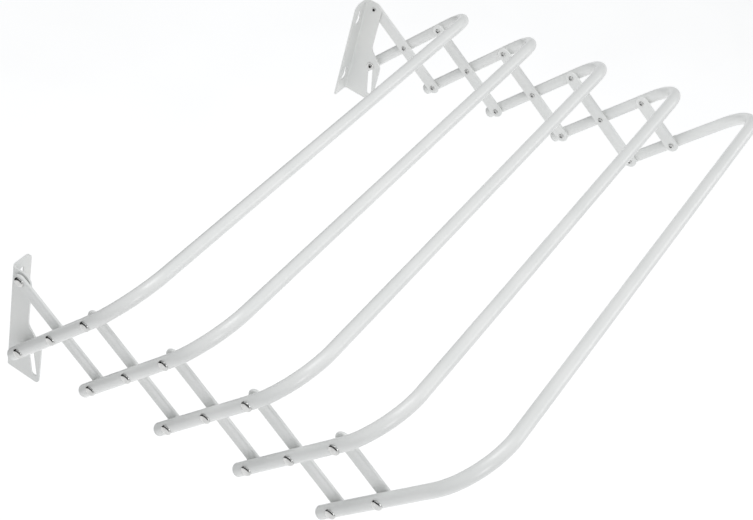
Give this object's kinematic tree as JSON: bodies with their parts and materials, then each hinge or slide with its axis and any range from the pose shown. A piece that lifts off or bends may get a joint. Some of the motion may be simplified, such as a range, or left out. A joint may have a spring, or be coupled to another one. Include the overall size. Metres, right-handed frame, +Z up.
{
  "type": "wall mounted fold-down drying rack",
  "caption": "Wall-mounted fold-down drying rack: U-shaped tube rails on scissor side lattices, which fold back against two slotted L brackets.",
  "frame": {"origin": "on the wall plane, midway between the two brackets and at half their height", "axes": "+X along the rails to the right when facing the wall, +Y into the wall, +Z up"},
  "size_m": [0.8076, 0.593, 0.3186],
  "materials": {
    "white_paint": "white powder coat, satin gloss",
    "white_plastic": "white moulded caps",
    "bright_steel": "bright plated rivets"
  },
  "bodies": {
    "brackets": {"bracket_left": "white_paint", "rivet_upper_left": "bright_steel", "bracket_right": "white_paint", "rivet_upper_right": "bright_steel"},
    "flats_1": {"flat_1_left": "white_paint", "flat_1_right": "white_paint"},
    "rail_1": {"tube_1": "white_paint", "plug_1_left": "white_plastic", "rivet_middle_1_left": "bright_steel", "rivet_top_1_left": "bright_steel", "rivet_slot_left": "bright_steel", "washer_slot_left": "bright_steel", "plug_1_right": "white_plastic", "rivet_middle_1_right": "bright_steel", "rivet_top_1_right": "bright_steel", "rivet_slot_right": "bright_steel", "washer_slot_right": "bright_steel"},
    "flats_2": {"flat_2_left": "white_paint", "flat_2_right": "white_paint"},
    "rail_2": {"tube_2": "white_paint", "plug_2_left": "white_plastic", "rivet_middle_2_left": "bright_steel", "rivet_top_2_left": "bright_steel", "rivet_bottom_1_left": "bright_steel", "plug_2_right": "white_plastic", "rivet_middle_2_right": "bright_steel", "rivet_top_2_right": "bright_steel", "rivet_bottom_1_right": "bright_steel"},
    "flats_3": {"flat_3_left": "white_paint", "flat_3_right": "white_paint"},
    "rail_3": {"tube_3": "white_paint", "plug_3_left": "white_plastic", "rivet_middle_3_left": "bright_steel", "rivet_top_3_left": "bright_steel", "rivet_bottom_2_left": "bright_steel", "plug_3_right": "white_plastic", "rivet_middle_3_right": "bright_steel", "rivet_top_3_right": "bright_steel", "rivet_bottom_2_right": "bright_steel"},
    "flats_4": {"flat_4_left": "white_paint", "flat_4_right": "white_paint"},
    "rail_4": {"tube_4": "white_paint", "plug_4_left": "white_plastic", "rivet_middle_4_left": "bright_steel", "rivet_top_4_left": "bright_steel", "rivet_bottom_3_left": "bright_steel", "plug_4_right": "white_plastic", "rivet_middle_4_right": "bright_steel", "rivet_top_4_right": "bright_steel", "rivet_bottom_3_right": "bright_steel"},
    "flats_5": {"flat_5_left": "white_paint", "flat_5_right": "white_paint"},
    "rail_5": {"tube_5": "white_paint", "plug_5_left": "white_plastic", "rivet_middle_5_left": "bright_steel", "rivet_bottom_4_left": "bright_steel", "plug_5_right": "white_plastic", "rivet_middle_5_right": "bright_steel", "rivet_bottom_4_right": "bright_steel"}
  },
  "joints": [
    {"name": "fold", "type": "hinge", "parent": "brackets", "child": "flats_1", "pos_m": [0, -0.0165, 0.0715], "axis": [1, 0, 0], "range_deg": [0, 39]},
    {"name": "middle_1", "type": "hinge", "parent": "flats_1", "child": "rail_1", "pos_m": [0, -0.07773, 0.03363], "axis": [1, 0, 0], "range_deg": [-78.01, 0]},
    {"name": "top_1", "type": "hinge", "parent": "rail_1", "child": "flats_2", "pos_m": [0, -0.12133, 0.09093], "axis": [1, 0, 0], "range_deg": [0, 78.01]},
    {"name": "middle_2", "type": "hinge", "parent": "flats_2", "child": "rail_2", "pos_m": [0, -0.18256, 0.05305], "axis": [1, 0, 0], "range_deg": [-78.01, 0]},
    {"name": "top_2", "type": "hinge", "parent": "rail_2", "child": "flats_3", "pos_m": [0, -0.22615, 0.11036], "axis": [1, 0, 0], "range_deg": [0, 78.01]},
    {"name": "middle_3", "type": "hinge", "parent": "flats_3", "child": "rail_3", "pos_m": [0, -0.28738, 0.07248], "axis": [1, 0, 0], "range_deg": [-78.01, 0]},
    {"name": "top_3", "type": "hinge", "parent": "rail_3", "child": "flats_4", "pos_m": [0, -0.33098, 0.12979], "axis": [1, 0, 0], "range_deg": [0, 78.01]},
    {"name": "middle_4", "type": "hinge", "parent": "flats_4", "child": "rail_4", "pos_m": [0, -0.39221, 0.09191], "axis": [1, 0, 0], "range_deg": [-78.01, 0]},
    {"name": "top_4", "type": "hinge", "parent": "rail_4", "child": "flats_5", "pos_m": [0, -0.4358, 0.14921], "axis": [1, 0, 0], "range_deg": [0, 78.01]},
    {"name": "middle_5", "type": "hinge", "parent": "flats_5", "child": "rail_5", "pos_m": [0, -0.49703, 0.11134], "axis": [1, 0, 0], "range_deg": [-78.01, 0]}
  ],
  "couplings": [
    {"joint": "middle_1", "follows": "fold", "ratio": -2},
    {"joint": "top_1", "follows": "fold", "ratio": 2},
    {"joint": "middle_2", "follows": "fold", "ratio": -2},
    {"joint": "top_2", "follows": "fold", "ratio": 2},
    {"joint": "middle_3", "follows": "fold", "ratio": -2},
    {"joint": "top_3", "follows": "fold", "ratio": 2},
    {"joint": "middle_4", "follows": "fold", "ratio": -2},
    {"joint": "top_4", "follows": "fold", "ratio": 2},
    {"joint": "middle_5", "follows": "fold", "ratio": -2}
  ]
}
